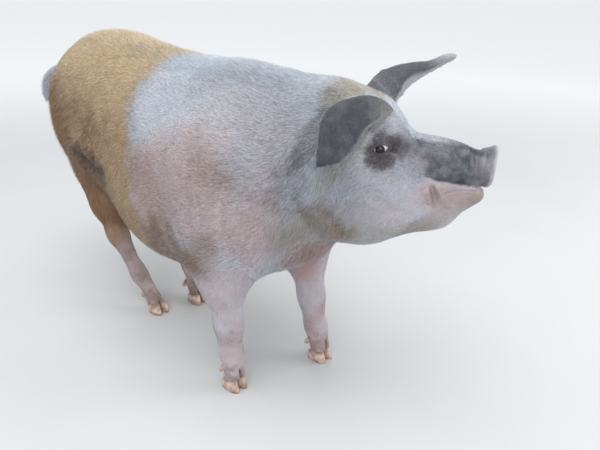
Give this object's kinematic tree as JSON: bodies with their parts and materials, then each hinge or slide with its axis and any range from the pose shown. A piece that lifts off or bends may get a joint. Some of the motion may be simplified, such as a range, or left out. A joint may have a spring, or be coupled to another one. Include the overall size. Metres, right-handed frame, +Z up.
{
  "type": "pig",
  "caption": "Life-size standing pig as a still museum model: pale hide with a ginger rump, dark ears and a grey face, head turned to its left.",
  "frame": {"origin": "on the floor, under the middle of the pig's bounding box", "axes": "+X forwards along the trunk, towards the head; +Y to the pig's left; +Z up"},
  "size_m": [1.3876, 0.488, 0.7257],
  "materials": {
    "hide": "matte hide under short bristles, off-white with a ginger rump, grey-brown patches and dark ears",
    "horn": "satin horn, pinkish buff, soiled at the edges",
    "eye": "wet gloss, dark brown with a black pupil and white at the corners"
  },
  "bodies": {
    "root": {"trunk": "hide", "neck": "hide", "head": "hide", "lower_jaw": "hide", "snout": "hide", "ear_right": "hide", "ear_left": "hide", "tail": "hide", "eye_right": "eye", "eye_left": "eye", "foreleg_right_upper": "hide", "foreleg_right_lower": "hide", "foreleg_right_hoof_right": "horn", "foreleg_right_hoof_left": "horn", "foreleg_right_dewclaw_right": "horn", "foreleg_right_dewclaw_left": "horn", "foreleg_left_upper": "hide", "foreleg_left_lower": "hide", "foreleg_left_hoof_right": "horn", "foreleg_left_hoof_left": "horn", "foreleg_left_dewclaw_right": "horn", "foreleg_left_dewclaw_left": "horn", "hindleg_right_upper": "hide", "hindleg_right_lower": "hide", "hindleg_right_hoof_right": "horn", "hindleg_right_hoof_left": "horn", "hindleg_right_dewclaw_right": "horn", "hindleg_right_dewclaw_left": "horn", "hindleg_left_upper": "hide", "hindleg_left_lower": "hide", "hindleg_left_hoof_right": "horn", "hindleg_left_hoof_left": "horn", "hindleg_left_dewclaw_right": "horn", "hindleg_left_dewclaw_left": "horn"}
  },
  "joints": []
}
